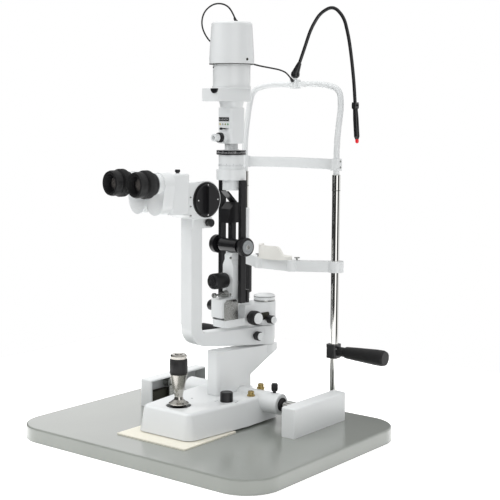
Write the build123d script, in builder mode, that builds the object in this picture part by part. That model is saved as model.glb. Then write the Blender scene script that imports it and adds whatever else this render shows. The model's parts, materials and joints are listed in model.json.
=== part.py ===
from build123d import *
import math
import os

# Slit lamp on its table top. Millimetres. The origin is the middle of the table top's underside,
# +X is the examiner's right, +Y runs from the examiner to the patient and +Z is up.

# ---- driving dimensions: table and rails ----
TABLE_W, TABLE_D, TABLE_T, TABLE_R = 550, 450, 25, 64
MOUNT_X, MOUNT_Y, MOUNT_HOLE_R, MOUNT_DEPTH = 160, 120, 4.25, 16
PAD_W, PAD_D, PAD_Y, PAD_T = 156, 140, -87, 2
COVER_IN, COVER_OUT, COVER_Y0, COVER_Y1, COVER_H, COVER_WALL = 152, 180, 13, 175, 52.5, 3.2
AXLE_Y, AXLE_Z, AXLE_R, BOSS_R = 75, 62, 6, 19
MODULE, TEETH = 1.0, 20
GEAR_IN, GEAR_OUT = 160, 170
FIT = 0.05
GAP = 0.4
# ---- driving dimensions: base, joystick, pedestal ----
BASE_Z, BASE_TOP, BASE_TAPER = 28.5, 74, 10
# Each power socket is x, y and the height of its rim's underside.
SOCKET_Z, SOCKETS = 69, ((57, 51, 74.1), (54, 84, 81.2))
STICK_Y, BALL_Z, BALL_R, DOME_IN, DOME_OUT = -82, 58, 16.5, 17.2, 20.2
TRUNNION_R, TRUNNION_END, PIN_R = 2.6, 26, 2
POST_Y, POST_R = 45, 11
PIVOT_Y, SHAFT_R, HUB_R = 165, 7, 20
SWING_REST = 9
# ---- driving dimensions: swung arms ----
ARM_W = 28.8
TOWER_V = -87
TILT_V, TILT_Z, KNOB_PIN_R = -100, 226, 2.9
DRUM_U, DRUM_V, DRUM_Z = 30, -174, 430
EYE_U, EYE_Z, PRISM_U, PRISM_Z = 34, 462, 24, 430
SLIT_Z = 340
# ---- driving dimensions: headrest ----
COL_X, COL_Y, COL_R, COL_TOP = 108.7, 242, 7.5, 468
TUBE_R, BOW_TOP = 5.65, 638
CHIN_Z0, CHIN_Z1, CHIN_X, CHIN_Y = 284, 305, 38, 201
HANDLE_Z = 133
LIFT_KNOB_H = CHIN_Z0 - 0.4 - 224

table_z = TABLE_T
os.makedirs("parts", exist_ok=True)

WORLD = Plane.XY
swing = math.radians(SWING_REST)
ARM = Plane(origin=(0, PIVOT_Y, 0), x_dir=(math.cos(swing), -math.sin(swing), 0), z_dir=(0, 0, 1))


def level(z, frame=WORLD):
    """Plane parallel to the table at height z."""
    return frame.offset(z)


def side(u, frame=WORLD):
    """Plane facing +x of the frame; its own x and y are the frame's y and z."""
    return Plane(origin=frame.from_local_coords((u, 0, 0)), x_dir=frame.y_dir, z_dir=frame.x_dir)


def front(v, frame=WORLD):
    """Plane facing the examiner; its own x and y are the frame's x and z."""
    return Plane(origin=frame.from_local_coords((0, v, 0)), x_dir=frame.x_dir, z_dir=-frame.y_dir)


def disc(plane, x, y, r, h, mode=Mode.ADD):
    """Cylinder of radius r standing on the plane at x, y."""
    with BuildSketch(plane) as face:
        with Locations((x, y)):
            Circle(r)
    extrude(face.sketch, amount=h, mode=mode)


def slab(plane, x, y, w, d, h, r=0, mode=Mode.ADD):
    """Block standing on the plane, with rounded corners where r is given."""
    with BuildSketch(plane) as face:
        with Locations((x, y)):
            if r:
                RectangleRounded(w, d, r)
            else:
                Rectangle(w, d)
    extrude(face.sketch, amount=h, mode=mode)


def shape(plane, points, h, r=0, mode=Mode.ADD):
    """Extruded outline, its corners rounded where r is given."""
    with BuildSketch(plane) as outline:
        with BuildLine():
            Polyline(*points, close=True)
        make_face()
        if r:
            fillet(outline.vertices(), r)
    extrude(outline.sketch, amount=h, mode=mode)


def turned(plane, x, y, profile, mode=Mode.ADD):
    """Turned piece: profile is (radius, height) pairs over the plane at x, y."""
    base = plane.from_local_coords((x, y, 0))
    with BuildSketch(Plane(origin=base, x_dir=plane.x_dir, z_dir=-plane.y_dir)) as half:
        with BuildLine():
            Polyline(*profile, close=True)
        make_face()
    revolve(half.sketch, axis=Axis(base, plane.z_dir), mode=mode)


def knob(r, h, chamfer=0.8, bore=0):
    """Profile of a chamfered knob with an optional bore."""
    return [(bore, 0), (r - chamfer, 0), (r, chamfer), (r, h - chamfer), (r - chamfer, h), (bore, h)]


def save(piece, name):
    piece.part.label = name
    export_step(piece.part, f"parts/{name}.step")


def tube(points, radius, share=0.45):
    """Round tube along straight runs joined by the largest tangent arcs."""
    pts = [Vector(*p) for p in points]
    radii = []
    for a, b, c in zip(pts, pts[1:], pts[2:]):
        turn = math.radians((b - a).get_angle(c - b))
        radii.append(share * min((b - a).length, (c - b).length) / math.tan(turn / 2))
    with BuildLine() as path:
        FilletPolyline(*pts, radius=radii)
    start = Plane(origin=pts[0], z_dir=pts[1] - pts[0])
    with BuildSketch(start) as section:
        Circle(radius)
    sweep(section.sketch, path=path.line)
    return radii


# ================= stand: table, rails, headrest =================
with BuildPart() as table_top:
    slab(WORLD, 0, 0, TABLE_W, TABLE_D, TABLE_T, TABLE_R)
    fillet(table_top.faces().sort_by(Axis.Z)[-1].edges(), 3)
    with Locations(Plane.XY.rotated((180, 0, 0))):
        with GridLocations(MOUNT_X, MOUNT_Y, 2, 2):
            Hole(MOUNT_HOLE_R, depth=MOUNT_DEPTH)
save(table_top, "table_top")

with BuildPart() as glide_pad:
    slab(level(table_z), 0, PAD_Y, PAD_W, PAD_D, PAD_T, 3)
save(glide_pad, "glide_pad")

# Each cover is a channel that stands on the table and is open towards the middle.
cover_w = COVER_OUT - COVER_IN
cover_mid = (COVER_Y0 + COVER_Y1) / 2
cover_len = COVER_Y1 - COVER_Y0
with BuildPart() as rail_covers:
    for s in (-1, 1):
        with BuildSketch(side(s * (COVER_IN + COVER_OUT) / 2 - cover_w / 2)):
            with Locations((cover_mid, table_z + COVER_H / 2)):
                Rectangle(cover_len, COVER_H)
        extrude(amount=cover_w)
    top_edges = rail_covers.edges().filter_by(lambda e: e.center().Z > table_z + 5)
    fillet(top_edges, 3)
    for s in (-1, 1):
        slab(level(table_z - 1), s * (COVER_IN - 1 + COVER_OUT - COVER_WALL) / 2, cover_mid,
             cover_w - COVER_WALL + 1, cover_len - 2 * COVER_WALL, COVER_H - COVER_WALL + 1,
             mode=Mode.SUBTRACT)
save(rail_covers, "rail_covers")

pitch_r = MODULE * TEETH / 2
rack_line = AXLE_Z - pitch_r
pitch = math.pi * MODULE
with BuildPart() as racks:
    for s in (-1, 1):
        y = AXLE_Y + pitch / 2
        first = -int((y - COVER_Y0 - 12) / pitch)
        last = int((COVER_Y1 - 12 - y) / pitch)
        points = [(y + first * pitch - 1.2, table_z), (y + first * pitch - 1.2, rack_line - 1.1)]
        for k in range(first, last + 1):
            c = y + k * pitch
            points += [(c - 0.9, rack_line - 1.1), (c - 0.3, rack_line + 0.9),
                       (c + 0.3, rack_line + 0.9), (c + 0.9, rack_line - 1.1)]
        points += [(y + last * pitch + 1.2, rack_line - 1.1), (y + last * pitch + 1.2, table_z)]
        shape(side(GEAR_IN + 1 if s > 0 else -GEAR_OUT + 1), points, GEAR_OUT - GEAR_IN - 2)
save(racks, "racks")

with BuildPart() as columns:
    for s in (-1, 1):
        disc(level(table_z + 6), s * COL_X, COL_Y, COL_R, COL_TOP - 30 - table_z - 6)
        turned(level(COL_TOP - 29.6), s * COL_X, COL_Y, knob(COL_R + 0.3, 29.6, 0.6))
save(columns, "columns")

# The columns stand behind the table's rear edge on brackets that are bolted under the rails' end.
with BuildPart() as column_feet:
    for s in (-1, 1):
        slab(level(table_z), s * COL_X, 226, 34, 62, 6, 8)
        turned(level(table_z + 6), s * COL_X, COL_Y, [(COL_R, 0), (13, 0), (13, 10), (11, 12), (COL_R, 12)])
        for y in (203, 218):
            disc(level(table_z + 6), s * COL_X, y, 4, 3)
save(column_feet, "column_feet")

with BuildPart() as bow_tube:
    bow = [(-COL_X, COL_Y, COL_TOP), (-COL_X, COL_Y, 530), (-COL_X, COL_Y + 13, 596),
           (-COL_X + 6, COL_Y + 17, BOW_TOP - 10), (-COL_X + 44, COL_Y + 17, BOW_TOP)]
    tube(bow + [(-x, y, z) for x, y, z in reversed(bow)], TUBE_R)
save(bow_tube, "bow_tube")

# The band and its two clamps are white; the clamps that carry the handles are black.
with BuildPart() as forehead_band:
    for s in (-1, 1):
        slab(level(476), s * 108, COL_Y, 18, 17, 22, 4)
        disc(level(475), s * COL_X, COL_Y, TUBE_R, 24, Mode.SUBTRACT)
    with BuildSketch(level(477)):
        with BuildLine():
            ThreePointArc((-101, COL_Y), (0, COL_Y + 26), (101, COL_Y))
            Line((101, COL_Y), (101, COL_Y + 3))
            ThreePointArc((101, COL_Y + 3), (0, COL_Y + 29), (-101, COL_Y + 3))
            Line((-101, COL_Y + 3), (-101, COL_Y))
        make_face()
    extrude(amount=20)
save(forehead_band, "forehead_band")

with BuildPart() as handle_clamps:
    for s in (-1, 1):
        slab(level(HANDLE_Z - 13), s * 108, COL_Y, 22, 24, 26, 5)
        disc(level(HANDLE_Z - 14), s * COL_X, COL_Y, COL_R, 28, Mode.SUBTRACT)
save(handle_clamps, "handle_clamps")

with BuildPart() as handle_grips:
    for s in (-1, 1):
        grip = Plane(origin=(s * 119, COL_Y, HANDLE_Z), x_dir=(0, 1, 0), z_dir=(s, 0, 0))
        turned(grip, 0, 0, [(0, 0), (9, 0), (9, 14), (11, 18), (12.5, 40), (14.8, 84), (14.8, 98),
                            (13, 103), (0, 103)])
save(handle_grips, "handle_grips")

with BuildPart() as lift_collars:
    turned(level(CHIN_Z0), -COL_X, COL_Y, [(COL_R, 0), (9.5, 0), (9.5, 109), (8.5, 111), (COL_R, 111)])
    turned(level(212), -COL_X, COL_Y, [(COL_R, 0), (12, 0), (12, 11.6), (COL_R, 11.6)])
save(lift_collars, "lift_collars")

FIX_X, FIX_Y, BALL_FIX_Z = 0, COL_Y + 17, 657
with BuildPart() as fixation_clamp:
    slab(level(BOW_TOP - 8), FIX_X, FIX_Y, 16, 18, 17, 3)
    disc(side(FIX_X - 9), FIX_Y, BOW_TOP, TUBE_R, 18, Mode.SUBTRACT)
    turned(level(BOW_TOP + 9), FIX_X, FIX_Y, [(0, 0), (4, 0), (4, 3), (0, 3)])
save(fixation_clamp, "fixation_clamp")

# ================= fixation lamp =================
cone_dir = Vector(0.5, -0.1, 0.86).normalized()
cone_base = Vector(FIX_X, FIX_Y, BALL_FIX_Z + 2)
neck_start = cone_base + cone_dir * 20
GOOSE = [(26, 254, 710), (40, 252, 742), (62, 250, 770), (92, 249, 782), (116, 249, 760),
         (127, 249.5, 722), (134, 250, 680), (139.5, 250, 638), (143, 250, 594)]
nod_x, nod_y, nod_z = GOOSE[-1]
neck_end = (nod_x - 0.5, nod_y, nod_z + 7)
with BuildPart() as gooseneck:
    tube([tuple(neck_start)] + GOOSE[:-1] + [neck_end], 3.2)
    slab(level(nod_z + 5), nod_x, nod_y, 8, 12.4, 4, 1)
    for y in (nod_y - 6.2, nod_y + 4.7):
        slab(level(nod_z), nod_x, y + 0.75, 8, 1.5, 6)
        disc(front(y + 1.5), nod_x, nod_z, 4, 1.5)
    turned(level(BALL_FIX_Z - 6.9), FIX_X, FIX_Y, [(0, 0), (5, 0), (8, 3), (8.6, 7), (8, 11), (5, 14),
                                                   (0, 14)])
    cone = Plane(origin=cone_base, x_dir=(0, 1, 0), z_dir=cone_dir)
    turned(cone, 0, 0, [(0, 0), (7.6, 0), (4.2, 22), (0, 22)])
save(gooseneck, "gooseneck")

lamp_dir = (Vector(*GOOSE[-1]) - Vector(*GOOSE[-2])).normalized()
lamp_axis = Plane(origin=GOOSE[-1], x_dir=(0, 1, 0), z_dir=tuple(lamp_dir))
with BuildPart() as fixation_lamp:
    disc(front(nod_y + 4.4), nod_x, nod_z, 4, 8.8)
    turned(lamp_axis, 0, 0, [(0, 0), (3.6, 0), (4.6, 4), (5.2, 20), (5.2, 54), (3.4, 59), (3, 59), (3, 64),
                            (1.6, 66), (0, 66)])
save(fixation_lamp, "fixation_lamp")

# ================= chin rest =================
BAR_HALF = 6
bar_dir = Vector(COL_X - CHIN_X, COL_Y - CHIN_Y, 0).normalized()
nx, ny = bar_dir.Y * BAR_HALF, -bar_dir.X * BAR_HALF
with BuildPart() as chin_bar:
    slab(level(CHIN_Z0), 0, CHIN_Y, 2 * CHIN_X, 2 * BAR_HALF, CHIN_Z1 - CHIN_Z0)
    for s in (-1, 1):
        shape(level(CHIN_Z0), [(s * (CHIN_X + nx), CHIN_Y + ny), (s * (COL_X + nx), COL_Y + ny),
                               (s * (COL_X - nx), COL_Y - ny), (s * (CHIN_X - nx), CHIN_Y - ny)],
              CHIN_Z1 - CHIN_Z0)
    for s in (-1, 1):
        disc(level(CHIN_Z0), s * (COL_X + 2), COL_Y, 14.5, CHIN_Z1 - CHIN_Z0)
        disc(level(CHIN_Z0), s * CHIN_X, CHIN_Y, 10.5, CHIN_Z1 - CHIN_Z0)
    disc(level(CHIN_Z0 - 1), -COL_X, COL_Y, 9.5 + FIT, 30, Mode.SUBTRACT)
    disc(level(CHIN_Z0 - 1), COL_X, COL_Y, COL_R + FIT, 30, Mode.SUBTRACT)
save(chin_bar, "chin_bar")

with BuildPart() as chin_cup:
    with BuildSketch(level(CHIN_Z1)):
        with Locations((-3, 203)):
            Ellipse(36, 24)
    extrude(amount=26)
    with BuildSketch(level(CHIN_Z1 + 5)):
        with Locations((-3, 207)):
            Ellipse(32.5, 24)
    extrude(amount=30, mode=Mode.SUBTRACT)
    slab(level(CHIN_Z1 + 12), 0, 222, 90, 24, 30, mode=Mode.SUBTRACT)
    with BuildSketch(front(240)):
        with BuildLine():
            Spline((14, CHIN_Z1 + 26.1), (20, CHIN_Z1 + 20), (25, CHIN_Z1 + 9), (33.2, CHIN_Z1 + 5))
            Polyline((33.2, CHIN_Z1 + 5), (50, CHIN_Z1 + 5), (50, CHIN_Z1 + 40), (14, CHIN_Z1 + 40),
                     (14, CHIN_Z1 + 26.1))
        make_face()
    extrude(amount=80, mode=Mode.SUBTRACT)
save(chin_cup, "chin_cup")

with BuildPart() as paper_pins:
    for s in (-1, 1):
        turned(level(CHIN_Z1), s * 46, 206, [(0, 0), (2, 0), (2, 4), (5.5, 4), (5.5, 5.6), (0, 6.4)])
save(paper_pins, "paper_pins")

with BuildPart() as chin_lift_knob:
    turned(level(224), -COL_X, COL_Y, knob(15, LIFT_KNOB_H, 2, COL_R + FIT))
    with BuildSketch(level(226)):
        with Locations((-COL_X, COL_Y)):
            with PolarLocations(15.2, 20):
                Circle(1.3)
    extrude(amount=LIFT_KNOB_H - 4, mode=Mode.SUBTRACT)
save(chin_lift_knob, "chin_lift_knob")

# ================= carriage =================
with BuildPart() as rack_guides:
    for s in (-1, 1):
        slab(side(154 if s > 0 else -158), AXLE_Y, (table_z + GAP + AXLE_Z + 9) / 2, 16,
             AXLE_Z + 9 - table_z - GAP, 4, 2)
    disc(side(-165), AXLE_Y, AXLE_Z, AXLE_R + FIT, 330, Mode.SUBTRACT)
save(rack_guides, "rack_guides")

with BuildPart() as axle_shaft:
    turned(side(-174), AXLE_Y, AXLE_Z, knob(AXLE_R, 348, 0.6))
save(axle_shaft, "axle_shaft")

with BuildPart() as axle_gears:
    for s in (-1, 1):
        points = []
        for k in range(TEETH):
            down = -math.pi / 2 + 2 * math.pi * k / TEETH
            for half, r in ((-0.85, pitch_r - 1.2), (-0.28, pitch_r + 0.9), (0.28, pitch_r + 0.9),
                            (0.85, pitch_r - 1.2)):
                a = down + half / r
                points.append((AXLE_Y + r * math.cos(a), AXLE_Z + r * math.sin(a)))
        plane = side(GEAR_IN if s > 0 else -GEAR_OUT)
        shape(plane, points, GEAR_OUT - GEAR_IN)
        disc(plane, AXLE_Y, AXLE_Z, AXLE_R, GEAR_OUT - GEAR_IN, Mode.SUBTRACT)
save(axle_gears, "axle_gears")

# ================= cross-slide base =================
with BuildPart() as base_casting:
    outline = [(-61, -124), (61, -124), (77, 20), (77, 114), (-77, 114), (-77, 20)]
    with BuildSketch(level(BASE_Z)) as foot_print:
        with BuildLine():
            Polyline(*outline, close=True)
        make_face()
        fillet(foot_print.vertices(), 18)
    extrude(amount=BASE_TOP - BASE_Z, taper=BASE_TAPER)
    fillet(base_casting.faces().sort_by(Axis.Z)[-1].edges(), 7)
    disc(side(-108), AXLE_Y, AXLE_Z, BOSS_R, 216)
    fillet(base_casting.edges().filter_by(lambda e: abs(abs(e.center().X) - 108) < 0.1), 2)
    slab(level(BASE_Z), 0, -42, 96, 120, 34, 8, Mode.SUBTRACT)
    slab(level(BASE_Z), 0, 97, 110, 16, 34, 4, Mode.SUBTRACT)
    disc(side(-120), AXLE_Y, AXLE_Z, AXLE_R + FIT, 240, Mode.SUBTRACT)
    disc(level(BASE_Z), 0, STICK_Y, 22, 60, Mode.SUBTRACT)
    disc(side(-TRUNNION_END - 1), STICK_Y, BALL_Z, TRUNNION_R + FIT, 2 * TRUNNION_END + 2, Mode.SUBTRACT)
    disc(level(BASE_Z), 0, POST_Y, POST_R + FIT, 60, Mode.SUBTRACT)
    for x, y, rim in SOCKETS:
        disc(level(SOCKET_Z), x, y, 6.3, 30, Mode.SUBTRACT)
    disc(level(62), 47, -7, 2.5, 20, Mode.SUBTRACT)
    disc(level(70), 92, AXLE_Y, 3, 20, Mode.SUBTRACT)
save(base_casting, "base_casting")

with BuildPart() as power_sockets:
    for x, y, rim in SOCKETS:
        turned(level(SOCKET_Z), x, y, [(3, 0), (6.3, 0), (6.3, rim - SOCKET_Z), (7.2, rim - SOCKET_Z),
                                       (7.2, rim + 1.5 - SOCKET_Z), (3, rim + 1.5 - SOCKET_Z)])
save(power_sockets, "power_sockets")

with BuildPart() as dimmer_knob:
    turned(level(74.2), 47, -7, [(0, 0), (11.6, 0), (11.3, 15.6), (10, 17), (0, 17)])
    disc(level(63), 47, -7, 2.45, 11.2)
save(dimmer_knob, "dimmer_knob")

with BuildPart() as axle_lock_knob:
    turned(level(71), 92, AXLE_Y, [(0, 0), (2.9, 0), (2.9, 13), (5, 13), (5.6, 14), (5.6, 26), (4.8, 27),
                                   (0, 27)])
save(axle_lock_knob, "axle_lock_knob")

# ================= joystick =================
with BuildPart() as joystick_dome:
    with BuildSketch(Plane(origin=(0, STICK_Y, BALL_Z), x_dir=(1, 0, 0), z_dir=(0, -1, 0))):
        with BuildLine():
            low = math.radians(-14)
            high = math.radians(50)
            mid = (low + high) / 2
            outer = [(DOME_OUT * math.cos(a), DOME_OUT * math.sin(a)) for a in (low, mid, high)]
            hollow = [(DOME_IN * math.cos(a), DOME_IN * math.sin(a)) for a in (high, mid, low)]
            ThreePointArc(*outer)
            Line(outer[2], hollow[0])
            ThreePointArc(*hollow)
            Line(hollow[2], outer[0])
        make_face()
    revolve(axis=Axis((0, STICK_Y, BALL_Z), (0, 0, 1)))
    # Two trunnions along x carry the dome in the base; two holes along y carry the stick's own pins.
    disc(side(DOME_IN + 0.6), STICK_Y, BALL_Z, TRUNNION_R, TRUNNION_END - DOME_IN - 0.6)
    disc(side(-TRUNNION_END), STICK_Y, BALL_Z, TRUNNION_R, TRUNNION_END - DOME_IN - 0.6)
    disc(front(STICK_Y + 25), 0, BALL_Z, PIN_R + FIT, 50, Mode.SUBTRACT)
save(joystick_dome, "joystick_dome")

with BuildPart() as joystick_stem:
    with Locations((0, STICK_Y, BALL_Z)):
        Sphere(BALL_R)
    disc(front(STICK_Y + 19.6), 0, BALL_Z, PIN_R, 39.2)
    turned(level(30.5), 0, STICK_Y, [(0, 0), (5, 0), (5, 20), (0, 20)])
    with Locations((0, STICK_Y, 32.4)):
        Sphere(5)
    turned(level(70), 0, STICK_Y, [(0, 0), (8.5, 0), (8.5, 7.5), (17.5, 7.5), (17.5, 9), (13, 11.5),
                                   (8.6, 15),
                                  (7.2, 20), (8.2, 27), (10.4, 34), (12.6, 46), (14.8, 58), (15.2, 60),
                                  (6, 60),
                                  (6, 87.6), (14.2, 87.6), (14.6, 92), (13, 95), (7, 95), (7, 90), (0, 90)])
save(joystick_stem, "joystick_stem")

with BuildPart() as joystick_grip:
    turned(level(130.4), 0, STICK_Y, knob(15.4, 26.8, 1.2, AXLE_R + FIT))
save(joystick_grip, "joystick_grip")

with BuildPart() as joystick_button:
    turned(level(162), 0, STICK_Y, knob(6.9, 4.4, 0.6))
save(joystick_button, "joystick_button")

# ================= pedestal =================
with BuildPart() as pedestal:
    profile = [(10, BASE_TOP + GAP), (103, BASE_TOP + GAP), (103, 99), (172, 128), (185, 133),
               (185, 146.5), (140, 146.5), (10, 155)]
    shape(side(-16), profile, 32)
    fillet(pedestal.edges().filter_by(Axis.Z).filter_by(lambda e: e.center().Y < 20), 9)
    disc(level(131), 0, PIVOT_Y, HUB_R, 15.5)
    disc(level(BASE_Z + 8), 0, POST_Y, POST_R, 50)
    disc(level(100), 0, PIVOT_Y, SHAFT_R, 60, Mode.SUBTRACT)
    disc(side(-30), AXLE_Y, AXLE_Z, BOSS_R + GAP, 60, Mode.SUBTRACT)
save(pedestal, "pedestal")

with BuildPart() as pivot_shaft:
    turned(level(126), 0, PIVOT_Y, [(0, 0), (SHAFT_R, 0), (SHAFT_R, 102.8), (HUB_R, 102.8), (HUB_R, 112),
                                   (18, 114), (0, 114)])
save(pivot_shaft, "pivot_shaft")

# ================= microscope =================
with BuildPart() as microscope_arm:
    c_arm = [(0, 147), (-45, 150), (-110, 157), (-194, 168), (-194, 379), (-168, 379), (-168, 188),
             (-30, 183),
             (0, 183)]
    with BuildSketch(side(-ARM_W / 2, ARM)) as c_outline:
        with BuildLine():
            Polyline(*c_arm, close=True)
        make_face()
        fillet(c_outline.vertices().sort_by_distance((-194, 168))[0], 34)
        fillet(c_outline.vertices().sort_by_distance((-168, 188))[0], 10)
    extrude(amount=ARM_W)
    fillet(microscope_arm.edges().filter_by(Axis.Z).group_by(SortBy.LENGTH)[-1], 3)
    disc(level(147, ARM), 0, 0, HUB_R, 36)
    slab(level(378, ARM), 0, -170, 32, 48, 17.9, 3)
    disc(level(140, ARM), 0, 0, SHAFT_R + FIT, 60, Mode.SUBTRACT)
save(microscope_arm, "microscope_arm")

with BuildPart() as head_lock_knob:
    turned(side(16.1, ARM), -160, 388, [(0, 0), (3, 0), (3, 3), (7, 3.5), (7, 13), (6, 14), (0, 14)])
save(head_lock_knob, "head_lock_knob")

with BuildPart() as drum_housing:
    disc(side(-31, ARM), DRUM_V, DRUM_Z, 33.6, 62)
    shape(side(-31, ARM), [(-174, 396.4), (-174, 463.6), (-217, 461), (-217, 404), (-200, 396.4)], 62)
    disc(side(DRUM_U - 26, ARM), DRUM_V, DRUM_Z, 28.4, 40, Mode.SUBTRACT)
    fillet(drum_housing.edges().filter_by(GeomType.LINE).filter_by(lambda e: e.center().Z > 455), 1)
    disc(front(-130, ARM), 0, DRUM_Z, 15, 110, Mode.SUBTRACT)
save(drum_housing, "drum_housing")

with BuildPart() as magnification_drum:
    turned(side(DRUM_U - 25, ARM), DRUM_V, DRUM_Z, knob(28, 31, 1))
    slab(side(DRUM_U + 6, ARM), DRUM_V, DRUM_Z, 9, 50, 7, 2)
save(magnification_drum, "magnification_drum")

with BuildPart() as objective_lens:
    turned(front(-131, ARM), 0, DRUM_Z, knob(15, 8, 0.6))
save(objective_lens, "objective_lens")

with BuildPart() as binocular_box:
    slab(level(408, ARM), 0, -240, 80, 46, 70, 9)
    fillet(binocular_box.faces().sort_by(Axis.Z)[-1].edges(), 4)
save(binocular_box, "binocular_box")

with BuildPart() as microscope_lock_knob:
    turned(side(ARM_W / 2 + 0.2, ARM), -39, 168, [(0, 0), (4, 0), (4, 6), (8.6, 6), (8.6, 15),
                                                  (7.2, 16.5), (0, 16.5)])
save(microscope_lock_knob, "microscope_lock_knob")

# Each prism housing turns about the optical channel behind it, so the eyepieces part or close.
for name, s in (("left", -1), ("right", 1)):
    with BuildPart() as prism_housing:
        face = front(-263.4, ARM)
        with BuildSketch(face) as lobes:
            with Locations((s * PRISM_U, PRISM_Z)):
                Circle(22.6)
            with Locations((s * EYE_U, EYE_Z)):
                Circle(19.5)
            make_hull(lobes.edges())
        extrude(amount=22)
        disc(front(-285.4, ARM), s * EYE_U, EYE_Z, 17, 11)
    save(prism_housing, f"prism_housing_{name}")

    with BuildPart() as eyepiece:
        turned(front(-296.4, ARM), s * EYE_U, EYE_Z,
               [(11, 0), (19, 0), (19, 8), (23.5, 10), (23.5, 22), (20, 24), (22, 27), (22, 36),
                (20.5, 40), (16.5, 40), (14, 28), (11, 28)])
    save(eyepiece, f"eyepiece_{name}")

# ================= illumination =================
with BuildPart() as illumination_arm:
    slab(level(191, ARM), 0, -58, 36, 118, 13.5, 6)
    slab(level(191, ARM), 0, -30, 38, 92, 37, 8)
    slab(level(204.5, ARM), 0, -80, 40, 24, 30, mode=Mode.SUBTRACT)
    disc(level(184, ARM), 0, 0, HUB_R, 44)
    disc(level(180, ARM), 0, 0, SHAFT_R + FIT, 60, Mode.SUBTRACT)
save(illumination_arm, "illumination_arm")

with BuildPart() as arm_lock_knob:
    turned(side(19.2, ARM), -58, 206, [(0, 0), (6, 0), (6, 8), (12.7, 8), (12.7, 22), (10, 25), (0, 25)])
save(arm_lock_knob, "arm_lock_knob")

with BuildPart() as hub_lock_knob:
    turned(side(19.2, ARM), -12, 197, [(0, 0), (4, 0), (4, 7), (8, 7), (8, 17), (6.6, 19), (0, 19)])
save(hub_lock_knob, "hub_lock_knob")

with BuildPart() as tilt_cradle:
    for u in (14.4, -17.4):
        shape(side(u, ARM), [(-116, 204.5), (-84, 204.5), (-84, 236), (-90, 242), (-110, 242),
                             (-116, 236)], 3)
    disc(side(-17.4, ARM), TILT_V, TILT_Z, 4, 34.8)
    disc(side(-18, ARM), TILT_V, TILT_Z, KNOB_PIN_R + FIT, 4, Mode.SUBTRACT)
save(tilt_cradle, "tilt_cradle")

with BuildPart() as tower_casting:
    shape(side(-14, ARM), [(-122, 209), (-82, 209), (-76, 245), (-76, 322), (-80, 327), (-90, 327),
                           (-94, 322),
                           (-94, 245), (-122, 243)], 28)
    for s in (-1, 1):
        shape(front(-60, ARM), [(s * 15, 302), (s * 15, 330), (s * 9, 330),
                                (s * 9, 314)], 50, mode=Mode.SUBTRACT)
    disc(side(-15, ARM), TILT_V, TILT_Z, 4 + FIT, 30, Mode.SUBTRACT)
    disc(front(-80, ARM), -4, 276, 4, 20, Mode.SUBTRACT)
save(tower_casting, "tower_casting")

with BuildPart() as guide_bars:
    slab(level(236, ARM), 27, -84, 9, 12, 225, 1)
    slab(level(236, ARM), -27, -84, 9, 12, 225, 1)
    slab(level(327.2, ARM), 0, -84, 12, 10, 55.8, 1)
    slab(level(236, ARM), 0, -72, 63, 6, 24, 1)
    disc(side(-22.6, ARM), TOWER_V + 1, SLIT_Z, 12.6, 45.2)
    disc(side(-40, ARM), TOWER_V + 1, SLIT_Z, 5 + FIT, 80, Mode.SUBTRACT)
save(guide_bars, "guide_bars")

with BuildPart() as mirror_block:
    shape(side(-13, ARM), [(-106, 383), (-74, 383), (-68, 412), (-76, 420), (-88, 420), (-100, 408)], 26)
    shape(side(-8, ARM), [(-72, 408), (-68, 410), (-100, 440.8), (-105, 440.8)], 16)
save(mirror_block, "mirror_block")

with BuildPart() as slit_housing:
    turned(level(461, ARM), 0, TOWER_V, [(0, 0), (27, 0), (27, 19), (23, 19), (23, 45.5), (14, 45.5),
                                         (14, 55), (12, 56),
                                        (12, 66), (0, 66)])
    disc(level(442, ARM), 0, TOWER_V, 16, 19)
save(slit_housing, "slit_housing")

with BuildPart() as slit_ring:
    turned(level(506.8, ARM), 0, TOWER_V, knob(27, 8, 0.6, 14 + FIT))
save(slit_ring, "slit_ring")

with BuildPart() as filter_box:
    slab(level(527, ARM), 0, TOWER_V, 38, 36, 65, 7)
    turned(level(592, ARM), 0, TOWER_V, [(0, 0), (20, 0), (22.5, 11), (0, 11)])
    disc(front(TOWER_V - 18, ARM), 0, 538, 8, 7)
    disc(front(TOWER_V - 4, ARM), 0, 538, 3, 30, Mode.SUBTRACT)
    slab(front(TOWER_V - 15, ARM), 5, 554, 14, 2.4, 12, mode=Mode.SUBTRACT)
save(filter_box, "filter_box")

with BuildPart() as filter_lever:
    turned(front(TOWER_V - 16, ARM), 1, 554, [(0, 0), (1, 0), (1, 8), (2.2, 8), (2.2, 12), (0, 12)])
save(filter_lever, "filter_lever")

with BuildPart() as aperture_knob:
    turned(front(TOWER_V - 6, ARM), 0, 538, [(0, 0), (2.9, 0), (2.9, 19.4), (9, 19.4), (9, 26),
                                             (6.7, 27), (6.7, 37),
                                            (5.6, 38), (0, 38)])
save(aperture_knob, "aperture_knob")

with BuildPart() as lamp_housing:
    slab(level(603, ARM), 0, -99, 44, 84, 23, 5)
    disc(level(626, ARM), 0, TOWER_V, 35, 3)
    turned(level(629, ARM), 0, TOWER_V, [(0, 0), (34, 0), (34, 41), (0, 41)])
save(lamp_housing, "lamp_housing")

with BuildPart() as lamp_lid:
    turned(level(670, ARM), 0, TOWER_V, [(34.3, 0), (40.7, 0), (40.7, 12), (37, 72), (34, 75), (0, 75),
                                         (0, 72),
                                        (33, 72), (36, 12), (36, 2), (34.3, 2)])
save(lamp_lid, "lamp_lid")

with BuildPart() as slit_shaft:
    turned(side(-44, ARM), TOWER_V + 1, SLIT_Z, [(0, 0), (16, 0), (17, 2), (17, 11), (5, 11), (5, 77),
                                                 (17, 77),
                                                (17, 86), (16, 88), (0, 88)])
save(slit_shaft, "slit_shaft")

with BuildPart() as centring_knob:
    turned(front(-84, ARM), -4, 276, [(0, 0), (3.9, 0), (3.9, 14), (14, 14), (14, 44), (12, 46), (0, 46)])
save(centring_knob, "centring_knob")

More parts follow.
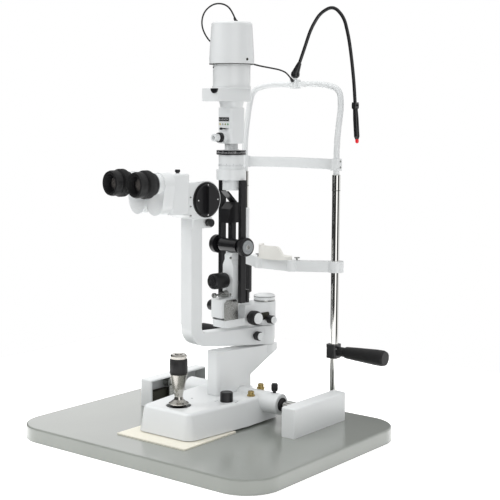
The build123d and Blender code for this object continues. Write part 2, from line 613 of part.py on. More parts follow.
with BuildPart() as latch_lever:
    turned(side(-42, ARM), TILT_V, TILT_Z, [(0, 0), (8.6, 0), (10, 2), (10, 19), (8, 21), (KNOB_PIN_R, 21),
                                           (KNOB_PIN_R, 27.2), (0, 27.2)])
save(latch_lever, "latch_lever")

# ================= lamp cable =================
# It leaves the top of the lamp, loops over to the left, passes behind the lamp and ends at the
# fixation clamp on the bow.
CABLE_R = 1.5
CABLE = [(-2.6, 77.3, 746.2), (-15, 81, 767), (-42, 92, 781), (-80, 106, 784), (-114, 119, 771),
         (-129, 130, 748), (-122, 138, 724), (-101, 144, 705), (-74, 149, 690), (-44, 154, 679),
         (-20, 165, 671), (-6, 187, 667), (-1, 212, 664), (0, 234, 658), (0.5, 249.6, 644)]
with BuildPart() as lamp_cable:
    print("cable radii", [round(r) for r in tube(CABLE, CABLE_R)])
save(lamp_cable, "lamp_cable")
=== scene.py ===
import bpy
import bmesh
import json
import math
import numpy as np
from mathutils import Matrix, Vector


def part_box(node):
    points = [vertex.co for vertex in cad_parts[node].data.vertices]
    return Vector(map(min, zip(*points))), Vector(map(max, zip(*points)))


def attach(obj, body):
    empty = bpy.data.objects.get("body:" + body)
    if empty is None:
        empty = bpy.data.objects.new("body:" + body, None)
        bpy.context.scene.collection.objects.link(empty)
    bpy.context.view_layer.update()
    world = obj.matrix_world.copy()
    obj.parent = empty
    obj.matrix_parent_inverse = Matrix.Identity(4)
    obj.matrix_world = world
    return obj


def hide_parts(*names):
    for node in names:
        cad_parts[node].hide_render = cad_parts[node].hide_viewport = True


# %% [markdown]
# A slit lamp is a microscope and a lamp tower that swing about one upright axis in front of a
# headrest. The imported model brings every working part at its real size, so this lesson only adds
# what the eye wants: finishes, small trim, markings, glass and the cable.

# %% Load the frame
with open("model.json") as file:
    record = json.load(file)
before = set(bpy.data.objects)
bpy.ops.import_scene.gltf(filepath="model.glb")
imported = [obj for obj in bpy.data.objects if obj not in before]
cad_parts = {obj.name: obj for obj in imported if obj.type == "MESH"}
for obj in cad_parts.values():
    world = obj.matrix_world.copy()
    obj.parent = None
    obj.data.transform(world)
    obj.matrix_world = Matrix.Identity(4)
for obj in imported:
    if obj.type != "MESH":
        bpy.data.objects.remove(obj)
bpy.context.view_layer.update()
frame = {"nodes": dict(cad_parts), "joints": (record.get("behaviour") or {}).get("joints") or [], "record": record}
nodes = frame["nodes"]
joints = {j["name"]: j for j in frame["joints"]}
body_of = {n: b for b, members in frame["record"]["behaviour"]["bodies"].items() for n in members}
MM = 0.001

# %% [markdown]
# The camera looks at the instrument from the examiner's right and a little above, with a long lens.
# Its turn comes from three angles. The shift is small and only centres the instrument.

# %% Camera
CAM_AZ, CAM_EL, CAM_ROLL = map(math.radians, (38.36, 5.82, 0.29))
CAM_PLACE = (1.2832, -1.5470, 0.5814)
CAM_LENS = 81.9
CAM_SHIFT = (0.0298, -0.0411)
back = Vector((math.sin(CAM_AZ) * math.cos(CAM_EL), -math.cos(CAM_AZ) * math.cos(CAM_EL), math.sin(CAM_EL)))
right = Vector((math.cos(CAM_AZ), math.sin(CAM_AZ), 0))
up = back.cross(right)
turned_right = right * math.cos(CAM_ROLL) + up * math.sin(CAM_ROLL)
turned_up = back.cross(turned_right)
cam_data = bpy.data.cameras.new("camera")
cam_data.lens = CAM_LENS
cam_data.shift_x, cam_data.shift_y = CAM_SHIFT
cam_data.clip_end = 50
camera = bpy.data.objects.new("camera", cam_data)
pose = Matrix((turned_right, turned_up, back)).transposed().to_4x4()
camera.matrix_world = Matrix.Translation(CAM_PLACE) @ pose
bpy.context.scene.collection.objects.link(camera)
bpy.context.scene.camera = camera
print("camera at", CAM_PLACE)

# %% [markdown]
# Finishes are node trees. One function adds a node with its settings and its links, and one turns
# the hex colours of a paint chart into the linear numbers that a shader works with.

# %% Colour and node helpers


def linear(code):
    """sRGB hex to linear RGBA: c/12.92 below 0.04045, else ((c+0.055)/1.055)^2.4."""
    c = np.array([int(code[i:i + 2], 16) for i in (1, 3, 5)]) / 255
    rgb = np.where(c <= 0.04045, c / 12.92, ((c + 0.055) / 1.055) ** 2.4)
    return (*map(float, rgb), 1.0)


def add(tree, kind, values=None, links=None, **settings):
    """Adds one node: settings are its properties, values its socket numbers, links its inputs."""
    node = tree.nodes.new(kind)
    for key, value in settings.items():
        setattr(node, key, value)
    for key, value in (values or {}).items():
        node.inputs[key].default_value = value
    for key, (source, socket) in (links or {}).items():
        tree.links.new(source.outputs[socket], node.inputs[key])
    return node


def finish_of(name, dark, light, rough, grain_mm, bump, metallic=0.0, coat=0.0, coat_rough=0.12,
              spread=0.05, stretch=(1, 1, 1), specular=0.5, emit=None, glow=0.25, ior=1.5):
    """A surface whose colour drifts from dark to light and whose gloss and height follow one grain size."""
    fine_scale = 1 / (grain_mm * MM * 2)
    material = bpy.data.materials.new(name)
    material.use_nodes = True
    tree = material.node_tree
    tree.nodes.clear()
    place = add(tree, "ShaderNodeTexCoord")
    turn = add(tree, "ShaderNodeMapping", {"Scale": stretch}, {"Vector": (place, "Object")})
    broad = add(tree, "ShaderNodeTexNoise", {"Scale": 9.0, "Detail": 3.0}, {"Vector": (turn, "Vector")})
    fine = add(tree, "ShaderNodeTexNoise", {"Scale": fine_scale, "Detail": 4.0, "Roughness": 0.6},
               {"Vector": (turn, "Vector")})
    colour = add(tree, "ShaderNodeMix", {6: linear(dark), 7: linear(light)}, {0: (broad, "Fac")},
                 data_type="RGBA")
    gloss = add(tree, "ShaderNodeMapRange", {"To Min": max(rough - spread, 0.01), "To Max": rough + spread},
                {"Value": (fine, "Fac")})
    height = add(tree, "ShaderNodeBump", {"Strength": bump, "Distance": grain_mm * MM * 0.4},
                 {"Height": (fine, "Fac")})
    shader = add(tree, "ShaderNodeBsdfPrincipled",
                 {"Metallic": metallic, "Coat Weight": coat, "Coat Roughness": coat_rough,
                  "Specular IOR Level": specular},
                 {"Base Color": (colour, 2), "Roughness": (gloss, "Result"), "Normal": (height, "Normal")})
    if not metallic:
        shader.inputs["IOR"].default_value = ior
    if emit:
        shader.inputs["Emission Color"].default_value = linear(emit)
        shader.inputs["Emission Strength"].default_value = glow
    add(tree, "ShaderNodeOutputMaterial", links={"Surface": (shader, "BSDF")})
    return material


# %% [markdown]
# Most of the instrument is die-cast aluminium under stoved white enamel: it is smooth, a little cool
# in the shade, and has the faint orange peel that sprayed enamel dries with. The table top is board
# under a silver-grey laminate whose print is a fine fleck. Knobs are moulded black plastic with a
# spark-eroded grain. The columns are chromed tube, and the joystick is satin nickel. A metal keeps
# the shader's own IOR. Grains finer than about 0.3 mm are drawn that coarse, so that they show.

# %% Finishes
enamel = finish_of("stoved_white_enamel", "#dcdfe0", "#e6e8e8", 0.3, 1.4, 0.05, coat=0.2)
laminate = finish_of("silver_laminate", "#7d817b", "#898d87", 0.3, 0.9, 0.04, coat=1.0, coat_rough=0.2)
cream = finish_of("cream_sheet", "#e6e2d2", "#efecdf", 0.5, 0.8, 0.06)
ivory = finish_of("moulded_ivory_plastic", "#e4e3dd", "#edece7", 0.36, 0.6, 0.04)
chrome = finish_of("chromed_tube", "#d6d5d1", "#e2e2df", 0.06, 2.5, 0.0, metallic=1.0, spread=0.02)
steel = finish_of("turned_steel", "#a9aaa7", "#bcbdba", 0.27, 0.4, 0.05, metallic=1.0)
nickel = finish_of("satin_nickel", "#b5b2ac", "#c8c5bf", 0.2, 0.5, 0.04, metallic=1.0, stretch=(1, 1, 6))
brass = finish_of("plated_brass", "#a68f5c", "#bda972", 0.26, 0.5, 0.04, metallic=1.0)
plastic = finish_of("moulded_black_plastic", "#0f0f11", "#19191b", 0.36, 0.35, 0.12)
rubber = finish_of("soft_black_rubber", "#0d0d0e", "#161617", 0.55, 0.4, 0.15)
anodised = finish_of("black_anodised_metal", "#111112", "#1d1d1f", 0.3, 0.3, 0.06, coat=0.1)
oiled = finish_of("oiled_dark_steel", "#34342c", "#4a4a40", 0.45, 0.8, 0.15, metallic=0.7)
glass = finish_of("coated_lens_glass", "#3f3d3c", "#5f5b57", 0.04, 3.0, 0.0, spread=0.01, coat=1.0, ior=1.6)
print_white = finish_of("printed_white_mark", "#d9dadb", "#e4e5e6", 0.5, 0.5, 0.02)
print_grey = finish_of("printed_grey_mark", "#8b8f91", "#999c9e", 0.5, 0.5, 0.02)
# Painted shade: this near-black finish stands in for the shadow inside the gaps at seams. The housing screw head
# takes it too.
shadow_gap = finish_of("painted_seam_shade", "#3a3b38", "#4a4b47", 0.6, 0.5, 0.05)
red_lens = finish_of("red_lens", "#c01420", "#d81c28", 0.2, 1.0, 0.02, emit="#e01020")
dots = {"yellow": "#c8b23a", "grey": "#8e9493", "olive": "#7d8a4d", "green": "#3f8a4f"}
dot_paint = {n: finish_of(f"{n}_filter_dot", c, c, 0.4, 0.6, 0.03) for n, c in dots.items()}

by_slot = {"white_enamel": enamel, "table_laminate": laminate, "cream_plastic": cream,
           "column_chrome": chrome, "steel": steel, "nickel": nickel, "brass": brass,
           "black_plastic": plastic, "black_rubber": rubber, "black_metal": anodised,
           "lens_glass": glass, "dark_steel": oiled}
slot_of = {s["node"]: s["material_slot"] for s in frame["record"]["subparts"]}
for name, piece in nodes.items():
    piece.data.materials.clear()
    piece.data.materials.append(ivory if name == "chin_cup" else by_slot[slot_of[name]])
print("finishes", len(bpy.data.materials))

# %% [markdown]
# New pieces are grids of points. A turned piece is a profile of radii and heights carried round an
# axis, so the grid has one row for each profile point and one column for each step round. Closing the
# grid and merging its poles gives a solid whose faces are then pointed outwards.

# %% Mesh helpers


MERGE_M = 1e-6
FLAT_M = 1e-7
SHARP = math.radians(35)


def closed_grid(name, points, finish, body):
    """Grid (rows, columns, 3) in metres, closed round its columns, with a cap on its first and last row."""
    rows, cols = points.shape[:2]
    ids = np.arange(rows * cols).reshape(rows, cols)
    nxt = np.roll(ids, -1, axis=1)
    faces = np.stack([ids[:-1], nxt[:-1], nxt[1:], ids[1:]], axis=-1).reshape(-1, 4).tolist()
    faces += [ids[0].tolist(), ids[-1].tolist()]
    mesh = bpy.data.meshes.new(name)
    mesh.from_pydata(points.reshape(-1, 3).tolist(), [], faces)
    work = bmesh.new()
    work.from_mesh(mesh)
    bmesh.ops.remove_doubles(work, verts=work.verts, dist=MERGE_M)
    bmesh.ops.dissolve_degenerate(work, edges=work.edges, dist=FLAT_M)
    bmesh.ops.recalc_face_normals(work, faces=work.faces)
    work.to_mesh(mesh)
    work.free()
    mesh.shade_smooth()
    mesh.set_sharp_from_angle(angle=SHARP)
    mesh.materials.append(finish)
    piece = bpy.data.objects.new(name, mesh)
    bpy.context.scene.collection.objects.link(piece)
    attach(piece, body)
    return piece


def across(axis):
    """Two unit vectors square to an axis."""
    axis = Vector(axis).normalized()
    first = axis.cross(Vector((0, 0, 1)) if abs(axis.z) < 0.9 else Vector((0, 1, 0))).normalized()
    return first, axis.cross(first)


def turned(name, origin, axis, profile, finish, body, steps=64, ripple=0.0, count=0):
    """Point = origin + axis*h + r*(cos t, sin t); r swells by ripple*|sin(count*t/2)| where profile asks."""
    axis = Vector(axis).normalized()
    first, second = across(axis)
    t = np.linspace(0, 2 * math.pi, steps, endpoint=False)
    prof = np.array([(p[0], p[1], p[2] if len(p) > 2 else 0) for p in profile], float) * [MM, MM, 1]
    r = prof[:, :1] + prof[:, 2:] * ripple * MM * np.abs(np.sin(count * t / 2))[None, :]
    ring = np.cos(t)[:, None] * np.array(first) + np.sin(t)[:, None] * np.array(second)
    points = np.array(origin) + prof[:, 1][:, None, None] * np.array(axis) + r[:, :, None] * ring[None]
    return closed_grid(name, points, finish, body)


def block(name, origin, x_dir, y_dir, size, finish, body, round_mm=0.4):
    """Pill box: a rounded rectangle of size (x, y) carried up by size z, all in millimetres."""
    x_dir, y_dir = Vector(x_dir).normalized(), Vector(y_dir).normalized()
    up_dir = x_dir.cross(y_dir)
    t = np.linspace(0, 2 * math.pi, 24, endpoint=False) + math.pi / 24
    ease_mm = 0.3 * round_mm
    inset = 1 - ease_mm / max(size[:2])
    half = np.array(size[:2]) / 2 - round_mm
    corner = np.stack([np.sign(np.cos(t)) * half[0] + round_mm * np.cos(t),
                       np.sign(np.sin(t)) * half[1] + round_mm * np.sin(t)], axis=-1)
    rows = [(inset, 0), (1, ease_mm), (1, size[2] - ease_mm), (inset, size[2])]
    outline = corner[:, :1] * np.array(x_dir) + corner[:, 1:] * np.array(y_dir)
    points = np.stack([np.array(origin) + MM * (k * outline + h * np.array(up_dir)) for k, h in rows])
    return closed_grid(name, points, finish, body)


def reach(node, place, axis):
    """Lowest and highest distance of a node's points along an axis from a place, in metres."""
    mesh = nodes[node].data
    co = np.zeros(len(mesh.vertices) * 3, np.float32)
    mesh.vertices.foreach_get("co", co)
    along = (co.reshape(-1, 3) - np.array(place)) @ np.array(Vector(axis).normalized())
    return float(along.min()), float(along.max())


def knob_end(node, joint):
    """The point at a knob's outer end on its own axis, and that axis."""
    j = joints[joint]
    axis = Vector(j["axis"]).normalized()
    return Vector(j["pos_m"]) + axis * reach(node, j["pos_m"], axis)[1], axis


# %% [markdown]
# The swung arms have their own directions: outwards to the right of the tower, and towards the
# examiner. Both are read from joints of the model, so trim on the arms stands square to them.

# %% Arm directions
OUT = Vector(joints["slit_width"]["axis"]).normalized()
NEAR = Vector(joints["centring_turn"]["axis"]).normalized()
UP = Vector((0, 0, 1))
PIVOT = Vector((0, joints["microscope_swing"]["pos_m"][1], 0))
TOWER = Vector(joints["slit_rotation"]["pos_m"])
TOWER.z = 0


def arm(u, v, z):
    """A place given in millimetres out, away from the examiner, and up from the swing axis."""
    return PIVOT + (OUT * u - NEAR * v + UP * z) * MM


# %% [markdown]
# The lamp's cable is about 0.4 m of limp 3 mm lead. It rises out of the lid, loops over to the
# left, drops behind the lamp and runs into the clamp on the bow. Its route has the same points as its
# CAD tube, and a smooth curve follows them.

# %% Lamp cable
ROUTE = [(-2.6, 77.3, 746.2), (-15, 81, 767), (-42, 92, 781), (-80, 106, 784), (-114, 119, 771),
         (-129, 130, 748), (-122, 138, 724), (-101, 144, 705), (-74, 149, 690), (-44, 154, 679),
         (-20, 165, 671), (-6, 187, 667), (-1, 212, 664), (0, 234, 658), (0.5, 249.6, 644)]
CABLE_R = 1.5
curve = bpy.data.curves.new("lamp_lead", "CURVE")
curve.dimensions = "3D"
spline = curve.splines.new("NURBS")
spline.points.add(len(ROUTE) - 1)
spline.points.foreach_set("co", np.array([(*p, 1000) for p in ROUTE]).ravel() * MM)
spline.order_u = 3
spline.use_endpoint_u = True
curve.resolution_u = 12
curve.bevel_depth = CABLE_R * MM
curve.bevel_resolution = 4
curve.use_fill_caps = True
curve.materials.append(rubber)
lead = bpy.data.objects.new("lamp_lead", curve)
bpy.context.scene.collection.objects.link(lead)
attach(lead, "stand")
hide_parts("lamp_cable")
chord = np.array(ROUTE) * MM
print("route runs add up to", np.linalg.norm(np.diff(chord, axis=0), axis=1).sum())

# %% [markdown]
# A knob is read by its end: a raised cap in another finish, a seam round it and ribs to grip. Each
# sits on its knob's own joint axis, so it turns with the knob.

# %% Knob caps and ribs
for node, joint, r, finish in (("arm_lock_knob", "arm_lock_turn", 10.2, enamel),
                               ("hub_lock_knob", "hub_lock_turn", 6.7, enamel),
                               ("microscope_lock_knob", "microscope_lock_turn", 7.3, enamel),
                               ("centring_knob", "centring_turn", 9.5, plastic),
                               ("latch_lever", "tilt_knob_turn", 7.2, plastic),
                               ("slit_shaft", "slit_width", 12.5, print_grey)):
    end, axis = knob_end(node, joint)
    turned(f"{node}_cap", end, axis,
           [(0, -0.5), (r, -0.5), (r, 1.4), (r - 0.6, 2.0), (r * 0.72, 2.0), (r * 0.66, 1.2),
            (r * 0.54, 1.2), (r * 0.5, 1.9), (r * 0.26, 1.9), (r * 0.2, 1.2), (0, 1.2)],
           finish, body_of[node])
end, axis = knob_end("aperture_knob", "aperture_select")
turned("aperture_cap", end, axis,
       [(0, -10.9), (7.0, -10.9), (7.0, -0.6), (6.2, 0.3), (4, 0.3), (3.6, 0), (0, 0)],
       enamel, "aperture")
for node, joint, r, low, high, count in (("centring_knob", "centring_turn", 14.1, -28, -4, 48),
                                         ("arm_lock_knob", "arm_lock_turn", 12.8, -14, -4, 40),
                                         ("slit_shaft", "slit_width", 17.1, -8.5, -2.5, 44),
                                         ("axle_lock_knob", "axle_lock_turn", 5.7, -12, -2, 20),
                                         ("joystick_grip", "grip_turn", 15.1, -23, -4, 30)):
    end, axis = knob_end(node, joint)
    turned(f"{node}_ribs", end, axis, [(r - 1, low), (r, low, 0.2), (r, low + 1, 1), (r, high - 1, 1),
                                       (r, high, 0.2), (r - 1, high)],
           plastic, body_of[node], steps=count * 6, ripple=0.5, count=count)
shaft_end, shaft_axis = knob_end("slit_shaft", "slit_width")
turned("slit_shaft_screw", shaft_end + shaft_axis * 1.0 * MM, shaft_axis,
       [(0, 0), (4.2, 0), (4.2, 1), (3.4, 1.6), (1.4, 1.6), (1.4, 0.8), (0, 0.8)],
       steel, "slit_width")

# %% [markdown]
# Screws hold the panels. A socket screw is a turned head with a recess in its middle.

# %% Screws


def screw(name, place, axis, r, body, finish=steel):
    """Socket head: a chamfered disc with a round recess."""
    return turned(name, place, axis, [(0, -0.4), (r, -0.4), (r, 1.0), (r * 0.85, 1.5), (r * 0.45, 1.5),
                                      (r * 0.45, 0.6), (0, 0.6)], finish, body, steps=32)


for z in (318, 250):
    screw(f"panel_screw_{z}", arm(8, -94, z), NEAR, 2.3, "tower")
for s in (-1, 1):
    screw(f"lid_screw_{'right' if s > 0 else 'left'}", arm(s * 40.4, -87, 678), OUT * s, 2.4, "tower",
          oiled)
for i, (y, z) in enumerate(((242, 482), (242, 493))):
    screw(f"band_screw_{i}", Vector((0.117, y * MM, z * MM)), (1, 0, 0), 2.0, "stand")
screw("housing_screw", arm(-14, -87 - 30.6, 664), NEAR, 1.6, "tower", shadow_gap)
for i, z in enumerate((404, 420, 436)):
    screw(f"drum_side_screw_{i}", arm(31, -211, z), OUT, 1.5, "microscope")
screw("handle_screw", Vector((0.119, 0.2335, 0.139)), (1, 0, 0), 1.6, "stand")

# %% [markdown]
# The rings and scales carry fine white lines. A row of ticks is one mesh: each is a thin plate that
# stands 0.15 mm proud of the ring.

# %% Ticks


def ring_ticks(name, centre, r, z, h, count, first, last, body, finish=print_white,
               every=5):
    """Plates round a ring from one angle to another; each fifth is taller."""
    points, faces = [], []
    for k, t in enumerate(np.linspace(first, last, count)):
        radial, side_dir = Vector((math.cos(t), math.sin(t), 0)), Vector((-math.sin(t), math.cos(t), 0))
        tall = h if k % every == 0 else h * 0.6
        start = len(points)
        for depth in (-0.3, 0.15):
            for w, up_mm in ((-0.25, 0), (0.25, 0), (0.25, tall), (-0.25, tall)):
                points.append(centre + radial * (r + depth) * MM + side_dir * w * MM + UP * (z + up_mm) * MM)
        faces += [[start + i for i in f] for f in ((3, 2, 1, 0), (4, 5, 6, 7), (0, 1, 5, 4), (1, 2, 6, 5),
                                                   (2, 3, 7, 6), (3, 0, 4, 7))]
    mesh = bpy.data.meshes.new(name)
    mesh.from_pydata([tuple(p) for p in points], [], faces)
    mesh.materials.append(finish)
    piece = bpy.data.objects.new(name, mesh)
    bpy.context.scene.collection.objects.link(piece)
    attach(piece, body)
    return piece


ring_ticks("slit_ring_scale", TOWER, 27, 509.5, 3.6, 72, 0, 2 * math.pi * 71 / 72, "slit_ring")
ring_ticks("tower_scale", TOWER, 23, 486, 5, 24, -2.4, 0.2, "tower", print_grey)
knob_centre = Vector(joints["dimmer_turn"]["pos_m"])
knob_centre.z = 0

# %% [markdown]
# The magnification drum is a black disc in a white housing. A fine ring frames it, and four white
# dots mark its quarters. The drum's handle is a raised bar, so the two dots on the bar's ends stand
# further out than the two beside it.

# %% Drum face
DRUM_FACE = arm(36, -174, 430)
DOT_BESIDE_BAR, DOT_PAST_BAR = 22.5, 26.5
turned("drum_frame", arm(30.6, -174, 430), OUT, [(28.3, 0), (31.5, 0), (31.5, 1.2), (30.5, 2), (28.3, 2)],
       anodised, "microscope", steps=96)
for k in range(4):
    t = k * math.pi / 2
    out_mm = DOT_PAST_BAR if k % 2 else DOT_BESIDE_BAR
    turned(f"drum_dot_{k}", DRUM_FACE + (NEAR * math.cos(t) + UP * math.sin(t)) * out_mm * MM, OUT,
           [(0, -0.3), (1.2, -0.3), (1.2, 0.25), (0, 0.25)], print_white, "drum", steps=24)

# %% [markdown]
# An eyepiece ends in a rubber cup round a coated lens. The lens is a shallow dome that shows a warm
# dark grey with a sharp reflection. Ribs round the collar give a grip to set the focus.

# %% Eyepieces
for name in ("left", "right"):
    node = f"eyepiece_{name}"
    end, axis = knob_end(node, f"focus_{name}")
    bulge = [(11.6 * math.sin(a), -12 + 2.4 * math.cos(a)) for a in np.linspace(0, math.pi / 2, 9)]
    turned(f"eye_lens_{name}", end, axis, bulge + [(11.6, -14), (0, -14)], glass, node)
    turned(f"lens_ring_{name}", end, axis,
           [(11, -11.8), (13.6, -11.8), (14.6, -11), (14.2, -10.4), (11.4, -10.9)],
           anodised, node)
    turned(f"focus_ribs_{name}", end, axis,
           [(22.5, -29.5), (23.6, -29.5, 0.2), (23.6, -28.5, 1), (23.6, -19.5, 1), (23.6, -18.5, 0.2),
            (22.5, -18.5)],
           rubber, node, steps=360, ripple=0.6, count=60)
    turned(f"focus_line_{name}", end, axis, [(18.6, -39.6), (19.25, -39.6), (19.25, -38.8), (18.6, -38.8)],
           print_grey, node, steps=96)

# %% [markdown]
# On the tower's filter box a black window shows the filter's scale, and four coloured dots name the
# filters. The half-round black dial above gives the height of the slit.

# %% Filter window, dots and dial
FACE_V = -87 - 18
block("filter_window", arm(0, FACE_V - 0.2, 571), OUT, UP, (27, 7, 0.7), anodised,
      "tower", 1.0)
for k in range(6):
    block(f"window_mark_{k}", arm(-10.5 + k * 4.2, FACE_V - 0.6, 571), OUT, UP, (1.0, 3.6 - 2 * (k % 2), 0.5),
          print_white, "tower", 0.2)
for k, name in enumerate(dots):
    turned(f"{name}_dot", arm(-10.5 + k * 7, FACE_V + 0.2, 562), NEAR,
           [(0, 0), (1.7, 0), (1.7, 0.5), (0, 0.6)],
           dot_paint[name], "tower", steps=24)
half = np.linspace(math.pi, 2 * math.pi, 25)
DIAL_PLACE = arm(15, -141, 625.6)
for name, r, low, high, finish in (("height_dial", 8.6, 0.0, 2.6, plastic),
                                   ("height_dial_face", 6.2, 2.6, 3.0, anodised)):
    ring = np.stack([np.cos(half) * r, np.sin(half) * r], axis=-1)
    flat = ring[:, :1] * np.array(OUT) + ring[:, 1:] * np.array(UP)
    grid = np.stack([np.array(DIAL_PLACE) + MM * (flat + h * np.array(NEAR)) for h in (low - 0.4, high)])
    closed_grid(name, grid, finish, "tower")

# %% [markdown]
# Small trim: seals where the axle enters the base, glands where the cable leaves the lid and enters
# the clamp, the red lens of the fixation lamp, and a dark ring of painted shade in the seam under the lid.

# %% Trim
axle = Vector(joints["axle_roll"]["pos_m"])
for s in (-1, 1):
    place = Vector((s * 108.2 * MM, axle.y, axle.z))
    turned(f"axle_seal_{'right' if s > 0 else 'left'}", place, (s, 0, 0),
           [(6.2, 0), (12, 0), (12, 2), (11, 3), (8, 3.2), (6.2, 2.6)], rubber, "base")
cap_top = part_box("pivot_shaft")[1].z
cap_place = Vector((0, joints["microscope_swing"]["pos_m"][1], cap_top))
turned("pivot_cap_cover", cap_place, UP,
       [(18.2, -9.0), (20.2, -9.0), (20.3, -2.2), (19.4, -0.6), (17.2, 0.4), (0, 0.6)],
       enamel, "pedestal", steps=96)
# A thin dark ring of painted shade draws the gap under the pivot cap's rim.
turned("pivot_cap_seam_shade", cap_place - UP * 3.6 * MM, UP, [(19.4, 0), (20.45, 0), (20.45, 0.9), (19.4, 0.9)],
       shadow_gap, "pedestal", steps=96)
turned("beam_stop_screw", arm(-4, -93, 250), NEAR,
       [(0, -1), (7.2, -1), (7.2, 3), (3.4, 17), (1.9, 18), (1.9, 28), (4.4, 28.4), (4.6, 33),
        (3.8, 34), (0, 34)], steel, "tower", steps=48)
head_side = arm(14, -226, 478)
turned("head_thumb_screw", head_side, UP,
       [(0, -1), (3.0, -1), (3.0, 1.2), (4.6, 1.6), (4.6, 5.4), (3.8, 6.2), (0, 6.2)],
       plastic, "microscope", steps=40)
# A thin plate in the dark steel finish stands in for the hub recess: its darkness is painted shade.
block("hub_recess_shade", arm(18.9, -25, 203), -NEAR, UP, (38, 14, 0.35), oiled, "illumination", 4.0)
SOCKETS = ((57, 51, "front"), (54, 84, "rear"))
FRONT_RIM, REAR_RIM = 75.6, 82.7
for x, y, name in SOCKETS:
    rim = FRONT_RIM if name == "front" else REAR_RIM
    turned(f"socket_barrel_{name}", Vector((x, y, rim - 1)) * MM, UP,
           [(3.4, 0), (7.4, 0), (7.4, 1.4), (5.6, 2.4), (5.6, 7.6), (5.0, 8.4), (3.6, 8.4), (3.4, 7.6)],
           brass, "base", steps=48)
# Thin dark rings of painted shade draw the ferrule seams on the columns.
for s in (-1, 1):
    turned(f"column_seam_shade_{'right' if s > 0 else 'left'}", Vector((s * 108.7, 242, 438)) * MM, UP,
           [(7.4, 0), (7.95, 0), (7.95, 1.1), (7.4, 1.1)], shadow_gap, "stand", steps=48)
start, ahead = Vector(chord[0]), (Vector(chord[1]) - Vector(chord[0])).normalized()
turned("lid_gland", start - UP * 1.2 * MM, ahead,
       [(1.55, 0), (4.2, 0), (4.0, 1.5), (2.6, 4), (2.1, 9), (1.55, 9.4)],
       rubber, "tower", steps=40)
finish_end = Vector(chord[-1])
turned("clamp_gland", finish_end, (Vector(chord[-2]) - finish_end),
       [(1.55, 0), (3.0, 0), (2.6, 4), (2.0, 8), (1.55, 8.4)],
       rubber, "stand", steps=40)
lamp_top = Vector(joints["fixation_lamp_nod"]["pos_m"])
lamp_dir = Vector((3.5, 0, -44)).normalized()
tip = lamp_top + lamp_dir * reach("fixation_lamp", lamp_top, lamp_dir)[1]
turned("fixation_lens", tip - lamp_dir * 6.9 * MM, lamp_dir,
       [(0, 0), (3.25, 0), (3.25, 5), (2.6, 6.6), (1.2, 7.6), (0, 7.8)],
       red_lens, "fixation_light", steps=40)
# A thin dark ring of painted shade draws the seam under the lid.
turned("lid_seam_shade", TOWER + UP * 670 * MM, UP,
       [(38.4, -0.5), (40.9, -0.5), (41.0, 0), (40.9, 0.5), (38.4, 0.5)],
       shadow_gap, "tower", steps=96)
for z, r in ((629.4, 35.3), (665, 34.15)):
    turned(f"lamp_ring_{int(z)}", TOWER + UP * z * MM, UP,
           [(r - 1.5, 0), (r, 0), (r + 0.15, 0.5), (r, 1.0), (r - 1.5, 1.0)],
           enamel, "tower", steps=96)
for x, y, name in SOCKETS:
    hole_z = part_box("power_sockets")[1].z if name == "rear" else FRONT_RIM * MM
    turned(f"socket_plug_{name}", Vector((x * MM, y * MM, hole_z - 6 * MM)), UP,
           [(0, 0), (3.0, 0), (3.0, 5), (1.2, 5.4), (0, 5.4)],
           plastic, "base", steps=32)
for k, (dx, dy) in enumerate(((-17, -6), (-14, -14), (15, 12), (18, 4))):
    block(f"dimmer_mark_{k}", knob_centre + Vector((dx, dy, 73.8)) * MM, (1, 0, 0), (0, 1, 0),
          (3.4, 1.2, 0.35), print_grey, "base", 0.4)
turned("base_dot_top", Vector((-0.014, -0.030, 0.0737)), UP, [(0, 0), (2.0, 0), (2.0, 0.5), (0, 0.7)],
       print_grey, "base", steps=32)

# %% [markdown]
# The table stands on a plain pale floor that melts into a white surround. Three large soft lights
# light the instrument without showing in its gloss, and the light and dark bands of the reflected
# surround draw the long highlights of a studio and the streaks on the chrome.

# %% Floor, lights and surround
FLOOR_GLOW = 0.5
CEILING = 0.75
SPAN = 0.8
floor_mesh = bpy.data.meshes.new("floor")
floor_mesh.from_pydata([(-SPAN, -SPAN, -0.0005), (SPAN, -SPAN, -0.0005), (SPAN, SPAN, -0.0005),
                        (-SPAN, SPAN, -0.0005)], [], [(0, 1, 2, 3)])
floor_mesh.materials.append(finish_of("pale_floor", "#fbfbfb", "#ffffff", 0.7, 5.0, 0.0, specular=0.0,
                                      emit="#ffffff", glow=FLOOR_GLOW))
floor = bpy.data.objects.new("floor", floor_mesh)
bpy.context.scene.collection.objects.link(floor)


def soft_light(name, place, target, size, power):
    """An area light that faces a target and lights surfaces without showing in their gloss."""
    data = bpy.data.lights.new(name, "AREA")
    data.shape = "RECTANGLE"
    data.size, data.size_y = size
    data.energy = power
    lamp = bpy.data.objects.new(name, data)
    lamp.location = place
    lamp.rotation_euler = (Vector(target) - Vector(place)).to_track_quat("-Z", "Y").to_euler()
    lamp.visible_glossy = False
    bpy.context.scene.collection.objects.link(lamp)


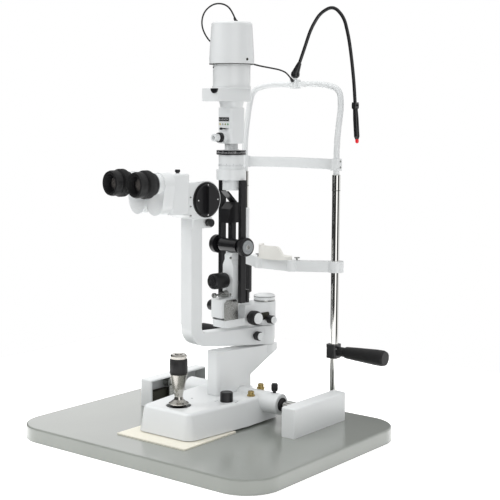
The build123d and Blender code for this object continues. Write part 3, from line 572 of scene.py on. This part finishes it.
soft_light("key", (-1.05, -0.95, 1.05), (0, 0, 0.35), (0.9, 0.9), 12)
soft_light("fill", (1.3, -1.9, 1.2), (0, 0, 0.4), (1.4, 1.4), 7.5)
soft_light("top", (-0.2, 0.1, 2.4), (0, 0, 0.3), (1.4, 1.4), 20)

# The surround is a ring of light and dark panels, given as turns measured from straight behind the
# instrument. Chrome shows the panels as streaks, and the pale ceiling fills the shadows.
PANELS = [(0.0, 1.1), (0.035, 1.2), (0.05, 0.06), (0.497, 0.04), (0.508, 1.6), (0.6, 1.6), (0.612, 0.05),
          (0.735, 0.05), (0.75, 1.0), (0.93, 0.9), (0.965, 0.06), (0.985, 0.12), (1.0, 1.1)]
world = bpy.data.worlds.new("surround")
bpy.context.scene.world = world
world.use_nodes = True
tree = world.node_tree
tree.nodes.clear()
where = add(tree, "ShaderNodeTexCoord")
facing = add(tree, "ShaderNodeMapping", {"Rotation": (0, 0, math.pi / 2 - CAM_AZ)},
             {"Vector": (where, "Generated")})
around = add(tree, "ShaderNodeTexGradient", links={"Vector": (facing, "Vector")}, gradient_type="RADIAL")
ring = add(tree, "ShaderNodeValToRGB", links={"Fac": (around, "Fac")})
while len(ring.color_ramp.elements) < len(PANELS):
    ring.color_ramp.elements.new(0.5)
for stop, (turn, tone) in zip(ring.color_ramp.elements, PANELS):
    stop.position = turn
    stop.color = (tone, tone, tone, 1)
height = add(tree, "ShaderNodeSeparateXYZ", links={"Vector": (where, "Generated")})
ceiling = add(tree, "ShaderNodeMapRange", {"From Min": 0.25, "From Max": 0.7, "To Max": 1.0},
              {"Value": (height, "Z")})
shell = add(tree, "ShaderNodeMix", {7: (CEILING, CEILING, CEILING, 1)},
            {0: (ceiling, "Result"), 6: (ring, "Color")}, data_type="RGBA")
seen = add(tree, "ShaderNodeLightPath")
plain = add(tree, "ShaderNodeMix", {7: (1, 1, 1, 1)}, {0: (seen, "Is Camera Ray"), 6: (shell, 2)},
            data_type="RGBA")
backdrop = add(tree, "ShaderNodeBackground", {"Strength": 1.0}, {"Color": (plain, 2)})
add(tree, "ShaderNodeOutputWorld", links={"Surface": (backdrop, "Background")})
bpy.context.scene.view_settings.view_transform = "Standard"
